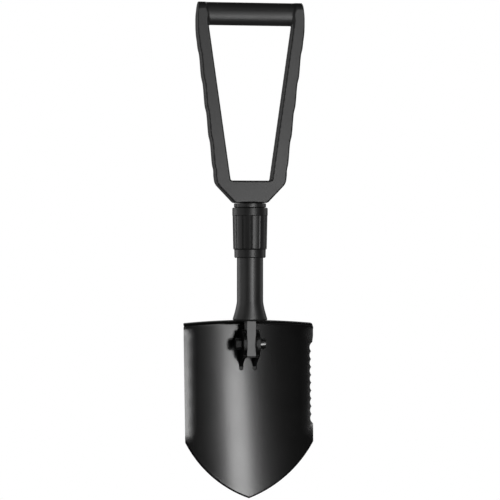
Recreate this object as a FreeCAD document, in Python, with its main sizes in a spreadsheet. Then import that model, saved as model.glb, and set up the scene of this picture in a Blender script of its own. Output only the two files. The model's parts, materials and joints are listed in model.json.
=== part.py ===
# Folding camp shovel: a moulded D handle, a short tube shaft with a locking collar, and a dished blade
# on a push-button hinge. Millimetres. Upright: +Z runs up the shaft, the hollow of the blade faces -Y.
# The origin is on the shaft's axis, half way down its bare tube, where a tool clip grips it.
import FreeCAD, Part
import math
import os

import Sketcher
from FreeCAD import Placement, Rotation, Vector

os.makedirs("parts", exist_ok=True)
doc = FreeCAD.newDocument("camp_shovel")

# ---------------------------------------------------------------- driving dimensions
DIMENSIONS = {
    "fit_gap": 0.3, "running_gap": 0.05,
    # shaft tube
    "tube_radius": 15.95, "tube_bore": 12.9, "tube_foot": -41, "tube_top": 80,
    "cross_pin_radius": 2.5, "cross_pin_half": 15.6, "tang_pin_height": -35, "lug_pin_height": 45,
    "guide_slot_spare": 1.8,
    # lower ferrule, flared from a round lip to an oval foot
    "ferrule_foot": -49.3, "ferrule_top": -25.3, "ferrule_lip": 16.2,
    "ferrule_half_width": 22.8, "ferrule_half_depth": 18,
    # blade hinge
    "pivot_back": -3, "pivot_height": -77, "pivot_pin_radius": 4,
    "tang_half": 5.3, "tang_front": -12, "tang_back": 9, "tang_heel": 17, "tang_shank_top": 5,
    "ear_inner": 6.2, "ear_outer": 10.4, "ear_rim": 17.5, "ear_notch_depth": 2.2,
    "bolt_head_width": 13, "bolt_head_length": 8.2,
    "ear_notch_half": 4.5,
    "gear_root": 6.6, "gear_tip": 8.4, "gear_tooth": 2.6, "gear_left": 3, "gear_right": 8.3,
    "gear_pocket": -1.7, "gear_cup": 8.8,
    "button_radius": 6.5, "button_face": 18.2, "button_wall": 1.2, "bolt_end": 12.4,
    "button_spring_seat": -4.6, "button_wire": 0.7, "washer_rim": 15,
    # blade
    "blade_tilt": 3.2, "blade_offset": 20.6, "blade_radius": 348, "blade_thick": 2.4,
    "blade_half_top": 79.9, "blade_half_low": 78.8, "blade_corner": 25, "blade_crown": 29,
    "blade_shoulder": -119, "blade_tip": -187.6, "blade_point_arc": 145, "step_depth": 12,
    "edge_bevel": 8.5, "bevel_top": 17.7, "tooth_pitch": 9.6, "tooth_count": 10, "tooth_first": -4.4,
    "tooth_round": 7.6, "tooth_inset": 3.4,
    "slot_inner": 5.6, "slot_outer": 11.1, "slot_foot": -32, "slot_head": 18,
    "bracket_half": 21, "bracket_thick": 3, "bracket_foot": -38, "bracket_head": 19,
    # collar
    "collar_foot": 27.4, "collar_top": 88.3, "collar_bore": 18.6, "collar_lip_bore": 16.3,
    "collar_flutes": 12, "collar_travel": 20, "collar_ledge": 76,
    "collar_foot_edge": 18.4, "collar_foot_radius": 19, "collar_waist": 20.4, "collar_head": 21.2,
    "collar_rim": 21.5, "collar_top_edge": 20, "flute_floor": 19.9, "flute_half": 1.1,
    "liner_length": 10, "liner_radius": 17.2, "guide_radius": 1.4, "guide_height": 32.4,
    "guide_start": 14, "guide_length": 4.9,
    "ring_radius": 19.5, "ring_foot": 88.6, "ring_top": 93.4,
    "seat_foot": 38, "seat_height": 2.4, "seat_radius": 18.2, "seat_gap_half": 1.5,
    "spring_wire": 1.4, "spring_turns": 6,
    # handle hinge
    "hinge_back": 22, "hinge_height": 105, "hinge_pin_radius": 3, "hinge_pin_proud": 2.4,
    "lug_half": 7, "lug_eye": 7.5, "lug_foot": 30, "lug_front": 2, "lug_heel": 14, "lug_back": 27,
    "clip_radius": 5.6, "clip_thick": 1.2,
    "cheek_inner": 7.4, "cheek_outer": 15, "cheek_eye": 8, "bush_radius": 4.5,
    "tongue_half": 6, "tongue_near": 28, "tongue_far": 32, "tongue_foot": 84,
    # D handle
    "web_foot": 93.9, "web_half_foot": 20.3, "web_shoulder": 117.3, "web_half_shoulder": 42.6,
    "web_top": 121, "arm_half_depth": 11,
    "handle_half_top": 66.7, "opening_half_foot": 25, "opening_half_top": 51.8,
    "opening_top": 309.3, "handle_top": 337.3, "handle_end_half": 64, "grip_radius": 14,
    "grip_height": 323.3, "grip_half_depth": 10,
}
sheet = doc.addObject("Spreadsheet::Sheet", "dims")
for row, (alias, number) in enumerate(DIMENSIONS.items(), start=1):
    sheet.set(f"A{row}", alias)
    sheet.set(f"B{row}", str(number))
    sheet.setAlias(f"B{row}", alias)
doc.recompute()

TURNED = {"X": Rotation(Vector(0, 1, 0), 90), "Y": Rotation(Vector(1, 0, 0), -90), "Z": Rotation()}
PIVOT = Vector(0, sheet.pivot_back, sheet.pivot_height)
BLADE_PLACE = Placement(PIVOT, Rotation(Vector(1, 0, 0), -sheet.blade_tilt))
subparts = []


def worked_out(expression):
    """The number that an expression on the sheet stands for."""
    return float(sheet.evalExpression(str(expression)))


def bind(item, **properties):
    for name, expression in properties.items():
        item.setExpression(name.replace("__", "."), str(expression))
    return item


def place(item, base, axis="Z"):
    item.Placement = Placement(Vector(), TURNED[axis])
    for letter, expression in zip("xyz", base):
        item.setExpression(f"Placement.Base.{letter}", str(expression))
    return item


def cylinder(name, radius, length, base=(0, 0, 0), axis="Z"):
    item = doc.addObject("Part::Cylinder", name)
    bind(item, Radius=radius, Height=length)
    return place(item, base, axis)


def block(name, low, high):
    item = doc.addObject("Part::Box", name)
    spans = [f"({top}) - ({bottom})" for bottom, top in zip(low, high)]
    bind(item, Length=spans[0], Width=spans[1], Height=spans[2])
    return place(item, low)


def turned_block(name, low, high, centre, turn):
    """A block whose corners are given from a centre that it is turned about."""
    item = block(name, low, high)
    for letter in "xyz":
        item.setExpression(f"Placement.Base.{letter}", None)
    corner = Vector(*(worked_out(expression) for expression in low))
    item.Placement = Placement(centre, turn) * Placement(corner, Rotation())
    return item


def fused(name, *pieces):
    item = doc.addObject("Part::MultiFuse", name)
    item.Shapes = list(pieces)
    return item


def shared(name, *pieces):
    item = doc.addObject("Part::MultiCommon", name)
    item.Shapes = list(pieces)
    return item


def cut(name, base, *tools):
    item = doc.addObject("Part::Cut", name)
    item.Base = base
    item.Tool = tools[0] if len(tools) == 1 else fused(name + "_tools", *tools)
    return item


def group(name, *pieces):
    item = doc.addObject("Part::Compound", name)
    item.Links = list(pieces)
    return item


def sub_part(item, label):
    """Names a finished piece; its label names its file."""
    item.Label = label
    subparts.append(item)
    return item


def plane_of(body, role):
    return next(f for f in body.Origin.OriginFeatures if f.Role == role)


def sketch_of(body, role, corners):
    """A closed outline through corners, each held to the sheet by its two distances from the origin."""
    sketch = body.newObject("Sketcher::SketchObject", body.Name + "_outline")
    sketch.AttachmentSupport = [(plane_of(body, role), "")]
    sketch.MapMode = "FlatFace"
    spots = [Vector(worked_out(across), worked_out(up), 0) for across, up in corners]
    for index, spot in enumerate(spots):
        sketch.addGeometry(Part.LineSegment(spot, spots[(index + 1) % len(spots)]))
    for index, (across, up) in enumerate(corners):
        before = (index - 1) % len(spots)
        sketch.addConstraint(Sketcher.Constraint("Coincident", before, 2, index, 1))
        spot = spots[index]
        for kind, expression, number in (("DistanceX", across, spot.x), ("DistanceY", up, spot.y)):
            held = sketch.addConstraint(Sketcher.Constraint(kind, -1, 1, index, 1, number))
            sketch.setExpression(f"Constraints[{held}]", str(expression))
    return sketch


def padded(name, role, corners, length):
    """A symmetric pad of an outline on one of the body's own planes."""
    body = doc.addObject("PartDesign::Body", name)
    pad = body.newObject("PartDesign::Pad", name + "_pad")
    pad.Profile = sketch_of(body, role, corners)
    pad.SideType = "Symmetric"
    pad.setExpression("Length", str(length))
    return body


def revolved(name, corners):
    """A full turn about Z of an outline in the XZ plane."""
    body = doc.addObject("PartDesign::Body", name)
    turn = body.newObject("PartDesign::Revolution", name + "_turn")
    turn.Profile = sketch_of(body, "XZ_Plane", corners)
    turn.ReferenceAxis = (turn.Profile[0], ["V_Axis"])
    turn.Angle = 360
    return body


def made(name, shape):
    item = doc.addObject("Part::Feature", name)
    item.Shape = shape
    return item


def coil(name, radius, wire, length, turns, base, axis="Z"):
    """A coil spring on quarter-turn arcs, whose wire stays inside its stated length."""
    rise = length - wire
    quarters = 4 * int(turns)

    def spot(quarter):
        angle = quarter * math.pi / 2
        return Vector(radius * math.cos(angle), radius * math.sin(angle), rise * quarter / quarters)

    path = Part.Wire([
        Part.Arc(spot(quarter), spot(quarter + 0.5), spot(quarter + 1)).toShape()
        for quarter in range(quarters)
    ])
    section = Part.Wire([Part.makeCircle(wire / 2, Vector(radius, 0, 0), Vector(0, 1, 0))])
    spring = made(name, path.makePipeShell([section], True, True))
    lift = TURNED[axis].multVec(Vector(0, 0, wire / 2))
    spring.Placement = Placement(Vector(*base) + lift, TURNED[axis])
    return spring


# ---------------------------------------------------------------- shaft
def shaft_tube():
    length = "dims.tube_top - dims.tube_foot"
    wall = cylinder("tube_outside", "dims.tube_radius", length, (0, 0, "dims.tube_foot"))
    hollow = cylinder("tube_hollow", "dims.tube_bore", length, (0, 0, "dims.tube_foot"))
    holes = [
        cylinder(f"tube_{end}_hole", "dims.cross_pin_radius", "2 * dims.tube_radius",
                 ("-dims.tube_radius", 0, f"dims.{end}_pin_height"), "X")
        for end in ("tang", "lug")
    ]
    slot_half = "dims.guide_radius + dims.fit_gap"
    slot_foot = "dims.guide_height - dims.collar_travel - dims.guide_slot_spare"
    slot = block("tube_guide_slot", (f"-({slot_half})", "dims.tube_bore - 1", slot_foot),
                 (slot_half, "dims.tube_radius + 4", "dims.guide_height + dims.guide_slot_spare"))
    sub_part(cut("tube_drilled", wall, hollow, slot, *holes), "shaft_tube")


def cross_pin(end):
    """A dowel through the tube and the shank inside it, short of the tube's skin."""
    sub_part(cylinder(f"{end}_dowel", "dims.cross_pin_radius", "2 * dims.cross_pin_half",
                      ("-dims.cross_pin_half", 0, f"dims.{end}_pin_height"), "X"), f"{end}_pin")


def lower_ferrule():
    """The flared foot of the shaft: round where it meets the tube, oval over the hinge."""
    rise = sheet.ferrule_top - sheet.ferrule_foot
    wires = []
    for share in (0.0, 0.12, 0.35, 0.62, 0.85, 1.0):
        swell = (1 - share) ** 1.6 if share > 0.1 else 0.985
        across = sheet.ferrule_lip + (sheet.ferrule_half_width - sheet.ferrule_lip) * swell
        deep = sheet.ferrule_lip + (sheet.ferrule_half_depth - sheet.ferrule_lip) * swell
        centre = Vector(0, 0, sheet.ferrule_foot + rise * share)
        wires.append(Part.Wire([Part.Ellipse(centre, across, deep).toShape()]))
    bell = made("ferrule_bell", Part.makeLoft(wires, True, False))
    socket = cylinder("ferrule_socket", "dims.tube_radius", "dims.ferrule_top - dims.tube_foot + 1",
                      (0, 0, "dims.tube_foot"))
    tang_way = block("ferrule_tang_way", ("-dims.tang_half", "dims.tang_front - 3", "dims.ferrule_foot - 1"),
                     ("dims.tang_half", "dims.tang_back", "dims.tube_foot + 1"))
    sub_part(cut("ferrule_bored", bell, socket, tang_way), "lower_ferrule")


def blade_tang():
    """The forged end of the shaft: a shank pinned in the tube, a flat bar and the hinge's eye."""
    shank = cylinder("tang_shank", "dims.tube_bore", "dims.tang_shank_top - dims.tube_foot",
                     (0, 0, "dims.tube_foot"))
    bar = block("tang_bar", ("-dims.tang_half", "dims.tang_front", "dims.pivot_height"),
                ("dims.tang_half", "dims.tang_back", "dims.tube_foot"))
    eye = cylinder("tang_eye", "dims.tang_heel", "2 * dims.tang_half",
                   ("-dims.tang_half", "dims.pivot_back", "dims.pivot_height"), "X")
    front = block("tang_front_flat", ("-dims.tang_half - 1", "-60", "dims.pivot_height - 40"),
                  ("dims.tang_half + 1", "dims.tang_front", "dims.tube_foot"))
    whole = fused("tang_whole", shank, bar, cut("tang_eye_flat", eye, front))
    axis = ("dims.pivot_back", "dims.pivot_height")
    bore = cylinder("tang_bore", "dims.pivot_pin_radius + dims.running_gap", "2 * dims.tang_half",
                    ("-dims.tang_half", *axis), "X")
    pocket = gear("tang_gear_pocket", "dims.gear_pocket", "dims.tang_half", "dims.fit_gap")
    spring_well = cylinder("tang_spring_well", "dims.gear_root - 0.2",
                           "dims.gear_pocket - dims.button_spring_seat",
                           ("dims.button_spring_seat", *axis), "X")
    dowel = cylinder("tang_dowel_hole", "dims.cross_pin_radius", "2 * dims.tube_bore",
                     ("-dims.tube_bore", 0, "dims.tang_pin_height"), "X")
    sub_part(cut("tang_bored", whole, bore, pocket, spring_well, dowel), "blade_tang")


def neck_ring():
    """The collar's top stop, notched behind for the handle's lug."""
    ring = cylinder("ring_disc", "dims.ring_radius", "dims.ring_top - dims.ring_foot",
                    (0, 0, "dims.ring_foot"))
    hole = cylinder("ring_hole", "dims.tube_bore", "20", (0, 0, "dims.ring_foot - 5"))
    notch = block("ring_notch", ("-dims.lug_half - dims.fit_gap", "10", "dims.ring_foot - 1"),
                  ("dims.lug_half + dims.fit_gap", "25", "dims.ring_top + 1"))
    sub_part(cut("ring_bored", ring, hole, notch), "neck_ring")


def handle_lug():
    """Pinned in the tube's top; its lug leans back to carry the handle's hinge pin behind the web."""
    shank = cylinder("lug_shank", "dims.tube_bore", "dims.ring_top - dims.lug_foot", (0, 0, "dims.lug_foot"))
    shoulder = cylinder("lug_shoulder", "dims.tube_radius", "dims.ring_foot - dims.tube_top",
                        (0, 0, "dims.tube_top"))
    neck = padded("lug_neck", "YZ_Plane", [
        ("dims.lug_front", "dims.ring_foot + 0.2"), ("dims.lug_heel", "dims.ring_foot + 0.2"),
        ("dims.lug_back", "dims.ring_top + 3.6"),
        ("dims.hinge_back + dims.lug_eye - 0.3", "dims.hinge_height - 1"),
        ("dims.hinge_back - dims.lug_eye + 0.4", "dims.hinge_height - 1"),
        ("dims.hinge_back - dims.lug_eye", "dims.ring_top"), ("dims.lug_front", "dims.ring_top"),
    ], "2 * dims.lug_half")
    axis = ("dims.hinge_back", "dims.hinge_height")
    eye = cylinder("lug_eye_disc", "dims.lug_eye", "2 * dims.lug_half", ("-dims.lug_half", *axis), "X")
    bore = cylinder("lug_bore", "dims.hinge_pin_radius + dims.running_gap", "2 * dims.lug_half",
                    ("-dims.lug_half", *axis), "X")
    tongue_way = block("lug_tongue_way", ("-dims.tongue_half - 0.4", "-12.4", "dims.tongue_foot - 1.5"),
                       ("dims.tongue_half + 0.4", "4.8", "dims.ring_top + 5"))
    dowel = cylinder("lug_dowel_hole", "dims.cross_pin_radius", "2 * dims.tube_bore",
                     ("-dims.tube_bore", 0, "dims.lug_pin_height"), "X")
    whole = fused("lug_whole", shank, shoulder, neck, eye)
    sub_part(cut("lug_bored", whole, bore, tongue_way, dowel), "handle_lug")


def spring_seat():
    """A snap ring sprung round the tube, where the collar's spring stands."""
    ring = cylinder("seat_disc", "dims.seat_radius", "dims.seat_height", (0, 0, "dims.seat_foot"))
    hole = cylinder("seat_hole", "dims.tube_radius", "dims.seat_height", (0, 0, "dims.seat_foot"))
    split = block("seat_split", ("-dims.seat_gap_half", "0", "dims.seat_foot"),
                  ("dims.seat_gap_half", "dims.seat_radius + 5", "dims.seat_foot + dims.seat_height"))
    sub_part(cut("seat_bored", ring, hole, split), "spring_seat_ring")


def collar_spring():
    low = sheet.seat_foot + sheet.seat_height
    radius = (sheet.tube_radius + sheet.collar_bore) / 2
    sub_part(coil("collar_coil", radius, sheet.spring_wire, sheet.collar_ledge - low,
                  sheet.spring_turns, (0, 0, low)), "collar_spring")


# ---------------------------------------------------------------- collar
def lock_collar():
    """A sleeve with plain end rings and a fluted grip that tapers down between them."""
    shell = revolved("collar_shell", [
        ("dims.liner_radius", "dims.collar_foot"), ("dims.collar_foot_edge", "dims.collar_foot"),
        ("dims.collar_foot_radius", "dims.collar_foot + 1.2"),
        ("dims.collar_foot_radius + 0.1", "dims.collar_foot + 9.6"),
        ("dims.collar_waist", "dims.collar_foot + 11"), ("dims.collar_head", "dims.collar_top - 10.5"),
        ("dims.collar_rim", "dims.collar_top - 9"), ("dims.collar_rim", "dims.collar_top - 2.4"),
        ("dims.collar_top_edge", "dims.collar_top"),
        ("dims.collar_lip_bore", "dims.collar_top"), ("dims.collar_lip_bore", "dims.collar_ledge"),
        ("dims.collar_bore", "dims.collar_ledge"),
        ("dims.collar_bore", "dims.collar_foot + dims.liner_length"),
        ("dims.liner_radius", "dims.collar_foot + dims.liner_length"),
    ])
    flutes = [
        turned_block(f"collar_flute_{index}",
                     ("-dims.flute_half", "dims.flute_floor", "dims.collar_foot + 10.4"),
                     ("dims.flute_half", "dims.collar_rim + 3", "dims.collar_top - 9.4"), Vector(),
                     Rotation(Vector(0, 0, 1), 360 * index / sheet.collar_flutes))
        for index in range(int(sheet.collar_flutes))
    ]
    sub_part(cut("collar_fluted", shell, guide_way("collar_guide_way"), *flutes), "lock_collar")


def guide_way(name):
    return cylinder(name, "dims.guide_radius", "12", (0, "12", "dims.guide_height"), "Y")


def collar_liner():
    sleeve = cylinder("liner_sleeve", "dims.liner_radius", "dims.liner_length", (0, 0, "dims.collar_foot"))
    bore = cylinder("liner_bore", "dims.tube_radius + dims.running_gap", "dims.liner_length",
                    (0, 0, "dims.collar_foot"))
    sub_part(cut("liner_bored", sleeve, bore, guide_way("liner_guide_way")), "collar_liner")


def guide_pin():
    """Keeps the collar from turning: its tip runs in a slot down the back of the tube."""
    sub_part(cylinder("guide_dowel", "dims.guide_radius", "dims.guide_length",
                      (0, "dims.guide_start", "dims.guide_height"), "Y"), "collar_guide_pin")


# ---------------------------------------------------------------- blade hinge
def gear(name, left, right, extra="0"):
    """A short eight-toothed spline about the pivot, grown by extra all round for its pocket."""
    length = f"({right}) - ({left})"
    root, tip = f"dims.gear_root + {extra}", f"dims.gear_tip + {extra}"
    half = f"dims.gear_tooth / 2 + {extra}"
    hub = cylinder(name + "_hub", root, length, (left, "dims.pivot_back", "dims.pivot_height"), "X")
    bars = [
        turned_block(f"{name}_bar_{index}", (left, f"-({tip})", f"-({half})"), (right, tip, half), PIVOT,
                     Rotation(Vector(1, 0, 0), 45 * index))
        for index in range(4)
    ]
    return fused(name, hub, *bars)


def pivot_bore(name, radius, left, right):
    return cylinder(name, radius, f"({right}) - ({left})",
                    (left, "dims.pivot_back", "dims.pivot_height"), "X")


def pivot_bolt():
    """The hinge's pin, with a hexagon head outside the left ear."""
    pin = pivot_bore("bolt_pin", "dims.pivot_pin_radius", "-dims.ear_outer", "dims.bolt_end")
    head = doc.addObject("Part::Prism", "bolt_head")
    head.Polygon = 6
    bind(head, Circumradius="dims.bolt_head_width / sqrt(3)", Height="dims.bolt_head_length")
    place(head, ("-dims.ear_outer - dims.bolt_head_length", "dims.pivot_back", "dims.pivot_height"), "X")
    sub_part(fused("bolt_whole", pin, head), "pivot_bolt")


def thrust_washer(side, bore, left, right):
    disc = pivot_bore(f"{side}_washer_disc", "dims.washer_rim", left, right)
    hole = pivot_bore(f"{side}_washer_hole", bore, left, right)
    sub_part(cut(f"{side}_washer_bored", disc, hole), f"{side}_thrust_washer")


def lock_gear():
    bore = pivot_bore("gear_bore", "dims.pivot_pin_radius + dims.running_gap",
                      "dims.gear_left", "dims.gear_right")
    sub_part(cut("gear_bored", gear("gear_teeth", "dims.gear_left", "dims.gear_right"), bore), "lock_gear")


def push_button():
    cap = pivot_bore("button_cap", "dims.button_radius", "dims.gear_right", "dims.button_face")
    well = pivot_bore("button_well", "dims.pivot_pin_radius + dims.running_gap", "dims.gear_right",
                      "dims.button_face - dims.button_wall")
    sub_part(cut("button_bored", cap, well), "push_button")


def button_spring():
    radius = (sheet.pivot_pin_radius + sheet.gear_root) / 2 - 0.1
    sub_part(coil("button_coil", radius, sheet.button_wire, sheet.gear_left - sheet.button_spring_seat, 4,
                  (sheet.button_spring_seat, sheet.pivot_back, sheet.pivot_height), "X"), "button_spring")


# ---------------------------------------------------------------- blade
def sheet_layer(name, near, far, low, high):
    """A strip of the blade's cylinder, between two distances behind its hollow face."""
    bowl = ("0", "dims.blade_offset - dims.blade_radius", low)
    outer = cylinder(name + "_outer", f"dims.blade_radius + {far}", f"({high}) - ({low})", bowl)
    inner = cylinder(name + "_inner", f"dims.blade_radius + {near}", f"({high}) - ({low})", bowl)
    return cut(name, outer, inner)


def blade_outline():
    """Straight sides, a crowned top edge and two arcs that meet at the point."""
    top, low, side = sheet.blade_half_top, sheet.blade_half_low, sheet.blade_shoulder
    right_top, right_low = Vector(top, 0, sheet.blade_corner), Vector(low, 0, side)
    left_top, left_low = Vector(-top, 0, sheet.blade_corner), Vector(-low, 0, side)
    point = Vector(0, 0, sheet.blade_tip)

    def bulge(start, end):
        chord = end - start
        middle = (start + end) / 2
        rise = sheet.blade_point_arc - math.sqrt(sheet.blade_point_arc**2 - (chord.Length / 2) ** 2)
        outward = Vector(middle.x, 0, 0).normalize() + Vector(0, 0, -abs(chord.x / chord.z))
        return middle + outward.normalize() * rise

    edges = [
        Part.Arc(left_top, Vector(0, 0, sheet.blade_crown), right_top).toShape(),
        Part.LineSegment(right_top, right_low).toShape(),
        Part.Arc(right_low, bulge(right_low, point), point).toShape(),
        Part.Arc(point, bulge(left_low, point), left_low).toShape(),
        Part.LineSegment(left_low, left_top).toShape(),
    ]
    return Part.Face(Part.Wire(edges))


def blade_plate():
    outline = made("blade_prism", blade_outline().extrude(Vector(0, 60, 0)))
    pressed = sheet_layer("blade_sheet", "0", "dims.blade_thick", "dims.blade_tip - 5", "40")
    dish = shared("blade_dish", pressed, outline)
    crown = made("step_prism", blade_outline().extrude(Vector(0, 60, 0)))
    under = made("step_under", blade_outline().extrude(Vector(0, 60, 0)))
    under.Placement = Placement(Vector(0, 0, -sheet.blade_thick), Rotation())
    shelf_layer = sheet_layer("step_layer", "0", "dims.step_depth", "0", "40")
    shelf_area = cut("step_area", shared("step_slab", shelf_layer, crown), under)
    sides = block("step_sides", ("-dims.blade_half_top + 0.8", "0", "dims.blade_corner - 12"),
                  ("dims.blade_half_top - 0.8", "60", "60"))
    step = shared("foot_step", shelf_area, sides)
    bevel_start = sheet.blade_half_low - sheet.edge_bevel
    bevel_back = sheet.blade_offset - bevel_start**2 / (2 * sheet.blade_radius)
    bevels = [
        block("left_bevel", ("-120", "-40", "dims.blade_shoulder"),
              ("-dims.blade_half_low + dims.edge_bevel", str(bevel_back), "dims.bevel_top")),
        block("right_bevel", ("dims.blade_half_low - dims.edge_bevel", "-40", "dims.blade_shoulder"),
              ("120", str(bevel_back), "dims.bevel_top")),
    ]
    teeth = [
        cylinder(f"tooth_gap_{index}", "dims.tooth_round", "60",
                 ("dims.blade_half_low - dims.tooth_inset + dims.tooth_round", "0",
                  f"dims.tooth_first - {index} * dims.tooth_pitch"), "Y")
        for index in range(int(sheet.tooth_count))
    ]
    slots = []
    for side, low, high in (("right", "dims.slot_inner", "dims.slot_outer"),
                            ("left", "-dims.slot_outer", "-dims.slot_inner")):
        half = "(dims.slot_outer - dims.slot_inner) / 2"
        slots.append(block(f"{side}_slot", (low, "0", f"dims.slot_foot + {half}"),
                           (high, "60", "dims.slot_head")))
        slots.append(cylinder(f"{side}_slot_end", half, "60",
                              (f"({low} + {high}) / 2", "0", f"dims.slot_foot + {half}"), "Y"))
    plate = cut("blade_cut", fused("blade_bent", dish, step), *bevels, *teeth, *slots)
    plate.Placement = BLADE_PLACE
    sub_part(plate, "blade_plate")


def hinge_bracket():
    """Welded behind the blade; its two ears come forward through the slots, notched round their rims."""
    wall = sheet_layer("bracket_layer", "dims.blade_thick", "dims.blade_thick + dims.bracket_thick",
                       "dims.bracket_foot", "dims.bracket_head")
    area = block("bracket_area", ("-dims.bracket_half", "0", "dims.bracket_foot"),
                 ("dims.bracket_half", "60", "dims.bracket_head"))
    base = shared("bracket_base", wall, area)
    back = "dims.blade_offset + dims.blade_thick + 1"
    ears = []
    for side, low in (("right", "dims.ear_inner"), ("left", "-dims.ear_outer")):
        thick = "dims.ear_outer - dims.ear_inner"
        rim = cylinder(f"{side}_rim", "dims.ear_rim", thick, (low, "0", "0"), "X")
        arm = padded(f"{side}_arm", "YZ_Plane", [
            ("0", "-dims.ear_rim"), (back, "dims.slot_foot + 4.5"),
            (back, "dims.slot_head - 0.8"), ("0", "dims.ear_rim"),
        ], thick)
        arm.setExpression("Placement.Base.x", f"{low} + ({thick}) / 2")
        ears += [rim, arm]
    notches = [
        turned_block(f"ear_notch_{index}", ("-20", "-dims.ear_rim - 4", "-dims.ear_notch_half"),
                     ("20", "-dims.ear_rim + dims.ear_notch_depth", "dims.ear_notch_half"), Vector(),
                     Rotation(Vector(1, 0, 0), 45 * (index - 1)))
        for index in range(3)
    ]
    bores = [
        cylinder("left_ear_bore", "dims.pivot_pin_radius", "8", ("-dims.ear_outer - 2", "0", "0"), "X"),
        cylinder("right_ear_bore", "dims.button_radius + dims.fit_gap", "8",
                 ("dims.ear_inner", "0", "0"), "X"),
        cylinder("right_ear_cup", "dims.gear_cup", "dims.gear_right + dims.fit_gap - dims.ear_inner + 2",
                 ("dims.ear_inner - 2", "0", "0"), "X"),
    ]
    bracket = cut("bracket_cut", fused("bracket_whole", base, *ears), *notches, *bores)
    bracket.Placement = BLADE_PLACE
    sub_part(bracket, "hinge_bracket")


# ---------------------------------------------------------------- handle
def tongue_shape(name):
    """A finger curved about the handle's hinge, so that it leaves the shaft's head along its own line."""
    axis = ("-dims.tongue_half", "dims.hinge_back", "dims.hinge_height")
    ring = cut(name + "_ring", cylinder(name + "_far", "dims.tongue_far", "2 * dims.tongue_half", axis, "X"),
               cylinder(name + "_near", "dims.tongue_near", "2 * dims.tongue_half", axis, "X"))
    area = block(name + "_area", ("-dims.tongue_half", "-20", "dims.tongue_foot"),
                 ("dims.tongue_half", "dims.hinge_back - 2", "dims.web_foot + 4"))
    return shared(name, ring, area)


def d_handle():
    depth = "2 * dims.arm_half_depth"
    right_side = [
        ("dims.web_half_foot", "dims.web_foot"), ("dims.web_half_shoulder", "dims.web_shoulder"),
        ("dims.handle_half_top", "dims.opening_top"), ("dims.handle_end_half", "dims.handle_top"),
    ]
    left_side = [(f"-{across}", up) for across, up in reversed(right_side)]
    blank = padded("handle_blank", "XZ_Plane", right_side + left_side, depth)
    window = padded("handle_window", "XZ_Plane", [
        ("dims.opening_half_foot", "dims.web_top"), ("dims.opening_half_top", "dims.opening_top"),
        ("dims.opening_half_top", "dims.handle_top + 5"), ("-dims.opening_half_top", "dims.handle_top + 5"),
        ("-dims.opening_half_top", "dims.opening_top"), ("-dims.opening_half_foot", "dims.web_top"),
    ], "4 * dims.arm_half_depth")
    bar = cylinder("grip_bar", "dims.grip_radius", "2 * dims.opening_half_top + 10",
                   ("-dims.opening_half_top - 5", 0, "dims.grip_height"), "X")
    flats = block("grip_flats", ("-dims.handle_half_top", "-dims.grip_half_depth", "dims.opening_top"),
                  ("dims.handle_half_top", "dims.grip_half_depth", "dims.handle_top"))
    grip = shared("handle_grip", bar, flats)
    pieces = [cut("handle_arms", blank, window), grip]
    for side, low in (("right", "dims.cheek_inner"), ("left", "-dims.cheek_outer")):
        wide = "dims.cheek_outer - dims.cheek_inner"
        eye = cylinder(f"{side}_cheek_eye", "dims.cheek_eye", wide,
                       (low, "dims.hinge_back", "dims.hinge_height"), "X")
        cheek = padded(f"{side}_cheek", "YZ_Plane", [
            ("dims.arm_half_depth - 1", "dims.hinge_height - 7"),
            ("dims.hinge_back", "dims.hinge_height - dims.cheek_eye"),
            ("dims.hinge_back", "dims.hinge_height + dims.cheek_eye"),
            ("dims.arm_half_depth - 1", "dims.web_shoulder + 2"),
        ], wide)
        cheek.setExpression("Placement.Base.x", f"{low} + ({wide}) / 2")
        pieces += [eye, cheek]
    bush_hole = cylinder("handle_bush_hole", "dims.bush_radius", "2 * dims.cheek_outer",
                         ("-dims.cheek_outer", "dims.hinge_back", "dims.hinge_height"), "X")
    whole = fused("handle_whole", *pieces)
    sub_part(cut("handle_cut", whole, bush_hole, tongue_shape("tongue_pocket")), "d_handle")


def hinge_bushes():
    bushes = []
    for side, low in (("right", "dims.cheek_inner"), ("left", "-dims.cheek_outer")):
        wide = "dims.cheek_outer - dims.cheek_inner"
        axis = (low, "dims.hinge_back", "dims.hinge_height")
        bushes.append(cut(f"{side}_bush", cylinder(f"{side}_bush_wall", "dims.bush_radius", wide, axis, "X"),
                          cylinder(f"{side}_bush_bore", "dims.hinge_pin_radius", wide, axis, "X")))
    sub_part(group("bush_pair", *bushes), "hinge_bushes")


def handle_pin():
    half = "dims.cheek_outer + dims.hinge_pin_proud"
    axis = (f"-({half})", "dims.hinge_back", "dims.hinge_height")
    dowel = cylinder("handle_dowel", "dims.hinge_pin_radius", f"2 * ({half})", axis, "X")
    sub_part(dowel, "handle_hinge_pin")


def pin_clips():
    clips = []
    near = "dims.cheek_outer + dims.fit_gap"
    for side, low in (("right", near), ("left", f"-({near}) - dims.clip_thick")):
        axis = (low, "dims.hinge_back", "dims.hinge_height")
        disc = cylinder(f"{side}_clip_disc", "dims.clip_radius", "dims.clip_thick", axis, "X")
        hole = cylinder(f"{side}_clip_hole", "dims.hinge_pin_radius", "dims.clip_thick", axis, "X")
        clips.append(cut(f"{side}_clip", disc, hole))
    sub_part(group("clip_pair", *clips), "pin_clips")


shaft_tube()
cross_pin("tang")
cross_pin("lug")
lower_ferrule()
blade_tang()
neck_ring()
handle_lug()
spring_seat()
collar_spring()
lock_collar()
collar_liner()
guide_pin()
pivot_bolt()
thrust_washer("left", "dims.pivot_pin_radius", "-dims.ear_inner", "-dims.tang_half - dims.fit_gap")
thrust_washer("right", "dims.gear_cup", "dims.tang_half + dims.fit_gap", "dims.ear_inner")
lock_gear()
push_button()
button_spring()
blade_plate()
hinge_bracket()
d_handle()
sub_part(tongue_shape("tongue_finger"), "lock_tongue")
hinge_bushes()
handle_pin()
pin_clips()
doc.recompute()

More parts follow.
